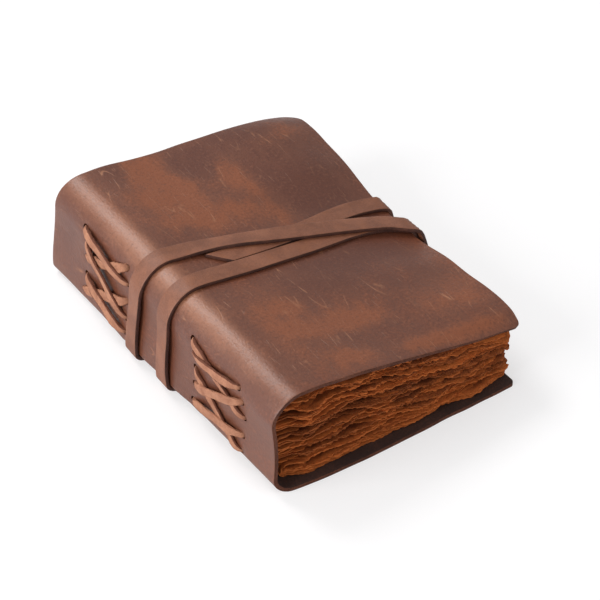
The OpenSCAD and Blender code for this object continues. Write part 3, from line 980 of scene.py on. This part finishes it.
# The strap's route, turn by turn: section place, y, and how far its head-side and tail-side edges
# stand off. Section places fall all the way, and each turn round the book takes off one loop.
strap_turns = [
    [(fore_low + 25, -4, 1.3, 1.3), (fore_low + 8, -4, 1.3, 1.3), (fore_low, -4, 1.3, 1.3),
     (fore_low - 22, -5, 1.3, 1.3), (fore_high + 6, -6.5, 1.3, 1.3), (fore_high, -3.2, 1.3, 1.3),
     (on_top(142), 1.0, 1.4, 1.3), (on_top(132), 2.2, 1.4, 1.3), (on_top(118), 1.6, 1.5, 1.2),
     (on_top(107), 0.0, 1.3, 1.3), (on_top(90), -2.6, 1.3, 1.3), (on_top(70), -4.4, 1.4, 1.2),
     (on_top(50), -5.0, 1.4, 1.2), (on_top(34), -4.6, 1.4, 1.2), (on_top(22), -4.1, 1.4, 1.3),
     (26, -4.6, 1.3, 1.4), (14, -5.3, 1.3, 1.6), (2, -5.3, 1.3, 2.2), (-12, -4.8, 1.3, 2.8),
     (-24, -4.7, 1.3, 2.4), (-33, -5.2, 1.3, 1.6), (-42, -5.6, 1.3, 1.3), (-60, -7.0, 1.3, 1.3),
     (-130, -16.0, 1.3, 1.3), (-back_s / mm + 6, -19.0, 1.3, 1.3), (-back_s / mm, -19.4, 1.3, 1.3)],
    [(fore_high + 22, -16.5, 3.0, 3.0), (fore_high + 7, -10.8, 3.7, 3.7), (fore_high, -6.4, 3.7, 3.7),
     (on_top(142), -0.5, 3.7, 3.7), (on_top(133), 1.6, 3.7, 3.7), (on_top(119), 3.8, 3.7, 3.6),
     (on_top(103), 6.0, 3.7, 3.5), (on_top(87), 8.2, 3.6, 3.4), (on_top(70), 11.0, 3.2, 3.6),
     (on_top(57), 14.4, 2.2, 3.5), (on_top(45), 16.9, 1.6, 3.2), (on_top(34), 18.9, 1.4, 2.3),
     (on_top(23), 20.2, 1.3, 1.4), (26, 21.2, 1.3, 1.3), (15, 20.9, 1.3, 1.6), (5, 21.7, 1.3, 2.4),
     (-6, 23.0, 1.3, 2.8), (-18, 23.7, 1.3, 2.5), (-30, 23.8, 1.3, 1.8), (-42, 23.6, 1.3, 1.3),
     (-62, 22.6, 1.3, 1.3), (-130, 14.0, 1.3, 1.3), (-back_s / mm, 12.0, 1.3, 1.3)],
    [(fore_high + 22, 12.6, 1.4, 1.4), (fore_high + 6, 15.6, 1.4, 1.4), (fore_high, 18.2, 1.4, 1.4),
     (on_top(138), 19.6, 1.3, 1.3), (on_top(124), 17.8, 1.2, 1.2), (on_top(109), 14.5, 1.2, 1.2),
     (on_top(90), 10.4, 1.2, 1.2), (on_top(70), 7.4, 1.2, 1.2), (on_top(40), 6.2, 1.2, 1.2)]]
route_at = np.array([(place - number * turn_c, y, head_off, tail_off)
                     for number, turn in enumerate(strap_turns) for place, y, head_off, tail_off in turn])
route_fall = -route_at[:, 0]

strap_hide, start, shader = finish("strap_leather_napped")
where = start.place()
nap = where.cloud(0.8 * mm, 4, 0.65)
rub = where.cloud(14 * mm, 5, 0.6, 0.5)
worn = (nap * 0.45 + rub * 0.55).over(0.38, 0.64)
colour = blend_colour(start, dye(116, 70, 49), dye(142, 90, 65), worn)
colour = colour.toward(dye(140, 84, 50), where.cloud(9 * mm, 4).over(0.52, 0.7) * 0.3)
wear_in(shader, start, colour, nap * 0.12 + 0.44, nap + rub * 0.4, 0.7, 0.25 * mm)

strap_edge, start, shader = finish("strap_leather_edge")
where = start.place()
fibre = where.cloud(0.6 * mm, 4, 0.7)
worn = (fibre * 0.6 + where.cloud(12 * mm) * 0.4).over(0.4, 0.66)
colour = blend_colour(start, dye(58, 30, 22), dye(98, 58, 43), worn)
wear_in(shader, start, colour, fibre * 0.1 + 0.7, fibre, 0.7, 0.25 * mm)


def strap_length(name, first, last, slanted=False):
    """A length of the strap between two places on its route."""
    count = max(8, int((last - first) / strap_step))
    bpy.ops.object.select_all(action="DESELECT")
    bpy.ops.mesh.primitive_grid_add(x_subdivisions=count, y_subdivisions=8, size=1)
    length = bpy.context.object
    length.name = name
    grid = places(length)
    beside = -grid[:, 1]
    fall = first + (grid[:, 0] + 0.5) * (last - first)
    if slanted:
        fall = fall + ease(last - slant, last, fall) * beside * slant_reach
    y_along, head_along, tail_along = (list(zip(route_fall, route_at[:, column])) for column in (1, 2, 3))
    middle_y = through(y_along, fall)
    ahead_y = through(y_along, fall + 0.5)
    head_off = through(head_along, fall)
    tail_off = through(tail_along, fall)
    lean = np.arctan2(ahead_y - middle_y, 0.5)
    waver = 0.05 * waves(71, 60, fall)
    c = -fall + np.sin(lean) * beside * strap_w / mm
    y = middle_y + waver + np.cos(lean) * beside * strap_w / mm
    off = tail_off + (head_off - tail_off) * (beside + 0.5)
    put(length, round_book(c * mm, y * mm, off * mm))
    length.data.materials.append(strap_hide)
    length.data.materials.append(strap_edge)
    return length


def finish_strap(name, lengths):
    """Joins lengths of the strap, gives them their thickness and eases their cut edges."""
    joined = join(lengths, name)
    apply(joined, "SOLIDIFY", thickness=strap_t, offset=0, use_even_offset=False, material_offset_rim=1)
    apply(joined, "BEVEL", width=strap_cut_ease, segments=2, limit_method="ANGLE",
          angle_limit=math.radians(60), harden_normals=False)
    face_outwards(joined)
    bpy.ops.object.shade_smooth_by_angle(angle=math.radians(40))
    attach(joined, "strap")
    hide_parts("wrap_strap")
    return joined


# The strap is parted at the lower bend and at the back cover's fore-edge, in mm along its route.
under_from = (seam_z + 4 * mm) / mm
under_to = back_s / mm
over_lengths = [
    strap_length("over_1", -fore_low, under_from),
    strap_length("over_2", under_to, turn_c + under_from),
    strap_length("over_3", turn_c + under_to, route_fall[-1], slanted=True)]
under_lengths = [
    strap_length("under_0", route_fall[0], -fore_low),
    strap_length("under_1", under_from, under_to),
    strap_length("under_2", turn_c + under_from, turn_c + under_to)]
strap_over = finish_strap("strap_over_book", over_lengths)
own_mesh(strap_over)
strap_under = finish_strap("strap_under_book", under_lengths)
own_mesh(strap_under)

# ---- Table and light ----
# A white table between white walls, lit by three square soft lamps: behind the head, beside the
# spine, and a weak one in front of the tail.
floor_material, start, shader = finish("white_table")
shader.inputs["Base Color"].default_value = (0.86, 0.85, 0.86, 1)
shader.inputs["Roughness"].default_value = 1.0
shader.inputs["Specular IOR Level"].default_value = 0.0
seen = start.node("LightPath", {})
glow = start.node("Emission", {"Color": (1, 1, 1, 1), "Strength": 1.25})
plain = Thread(floor_material.node_tree, shader.outputs[0])
both = start.node("MixShader", {0: seen * 0.42, 1: plain, 2: glow})
surface = floor_material.node_tree.nodes["Material Output"].inputs["Surface"]
floor_material.node_tree.links.new(both.socket, surface)
bpy.ops.object.select_all(action="DESELECT")
bpy.ops.mesh.primitive_plane_add(size=12)
table = bpy.context.object
table.name = "white_table"
table.data.materials.append(floor_material)

world = bpy.data.worlds.new("white_walls")
bpy.context.scene.world = world
world.use_nodes = True
walls = world.node_tree.nodes["Background"]
start = Thread(world.node_tree, None)
seen = start.node("LightPath", {})
walls.inputs["Color"].default_value = (1, 1, 1, 1)
world.node_tree.links.new((seen * 0.55 + 0.45).socket, walls.inputs["Strength"])


lamp_aim = Vector((0, 0, 0.02))


def softbox(name, place, size, power):
    """A square area light that faces the book."""
    bpy.ops.object.light_add(type="AREA", location=place)
    lamp = bpy.context.object
    lamp.name = name
    lamp.data.shape = "SQUARE"
    lamp.data.size = size
    lamp.data.energy = power
    lamp.rotation_euler = (Vector(place) - lamp_aim).to_track_quat("Z", "Y").to_euler()


softbox("softbox_back", (-0.25, 1.2, 1.5), 0.75, 15)
softbox("softbox_spine", (-1.6, 0.1, 0.8), 1.1, 23)
softbox("softbox_tail", (0.5, -1.5, 0.9), 1.0, 6)

bpy.context.scene.view_settings.view_transform = "Standard"
